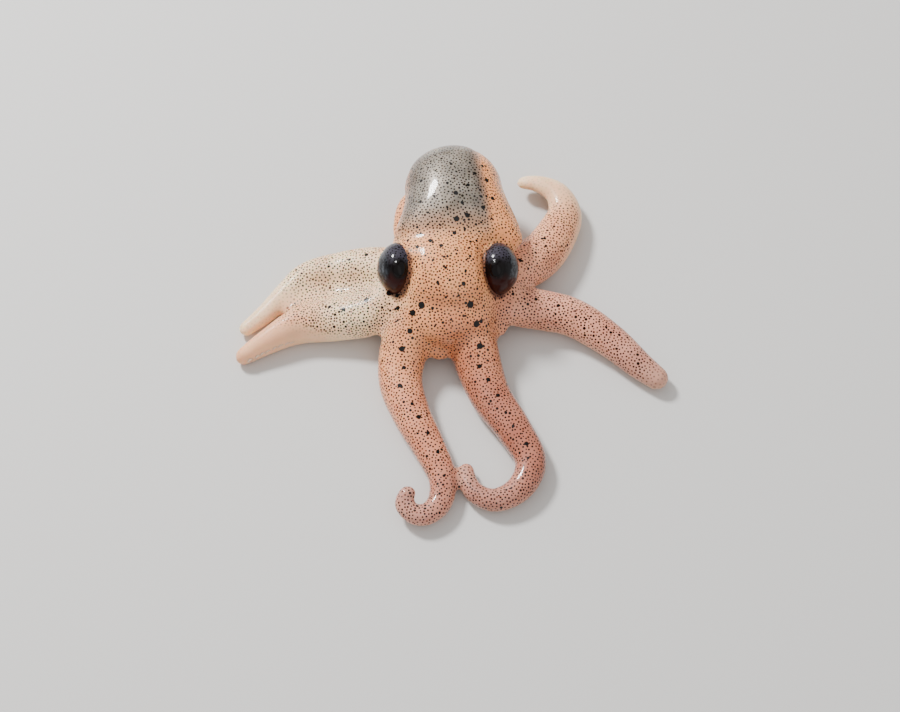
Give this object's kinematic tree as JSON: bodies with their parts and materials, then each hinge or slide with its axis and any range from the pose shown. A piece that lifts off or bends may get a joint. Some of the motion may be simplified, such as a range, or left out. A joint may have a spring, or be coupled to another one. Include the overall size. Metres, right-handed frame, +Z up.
{
  "type": "octopus hatchling",
  "caption": "Newly hatched octopus at rest on the floor, life size: bell-shaped mantle, dark eyes, fine dotted skin and spread arms with curled tips.",
  "frame": {"origin": "middle of the whole outline in plan, on the floor under the suckers", "axes": "+Z up; the animal faces -Y with its mantle towards +Y, so its own left side is +X"},
  "size_m": [0.0162, 0.015, 0.0037],
  "materials": {
    "skin": "wet translucent peach to cream skin with fine dark brown dots and a few larger dark spots",
    "mantle_skin": "wet translucent skin over a silver-grey sac, orange towards the animal's left edge, fine dark dots",
    "eye": "wet blue-black dome with a grey sheen",
    "sucker": "wet pale translucent cup",
    "spot": "near-black pigment spot in the skin"
  },
  "bodies": {
    "root": {"arm_left_1_1": "skin", "arm_left_1_2": "skin", "arm_left_1_3": "skin", "arm_left_1_4": "skin", "arm_left_2_1": "skin", "arm_left_2_2": "skin", "arm_left_2_3": "skin", "arm_left_3_1": "skin", "arm_left_3_2": "skin", "arm_left_3_3": "skin", "arm_left_3_4": "skin", "arm_left_4_1": "skin", "arm_left_4_2": "skin", "arm_left_4_3": "skin", "arm_left_4_4": "skin", "arm_right_1_1": "skin", "arm_right_1_2": "skin", "arm_right_1_3": "skin", "arm_right_1_4": "skin", "arm_right_2_1": "skin", "arm_right_2_2": "skin", "arm_right_2_3": "skin", "arm_right_3_1": "skin", "arm_right_3_2": "skin", "arm_right_3_3": "skin", "arm_right_3_4": "skin", "arm_right_4_1": "skin", "arm_right_4_2": "skin", "arm_right_4_3": "skin", "arm_right_4_4": "skin", "eye_left": "eye", "eye_right": "eye", "funnel": "skin", "head": "skin", "mantle": "mantle_skin", "web_left_1": "skin", "web_left_2": "skin", "web_left_3": "skin", "web_right_1": "skin", "web_right_2": "skin", "web_right_3": "skin", "web_right_4": "skin"}
  },
  "joints": []
}
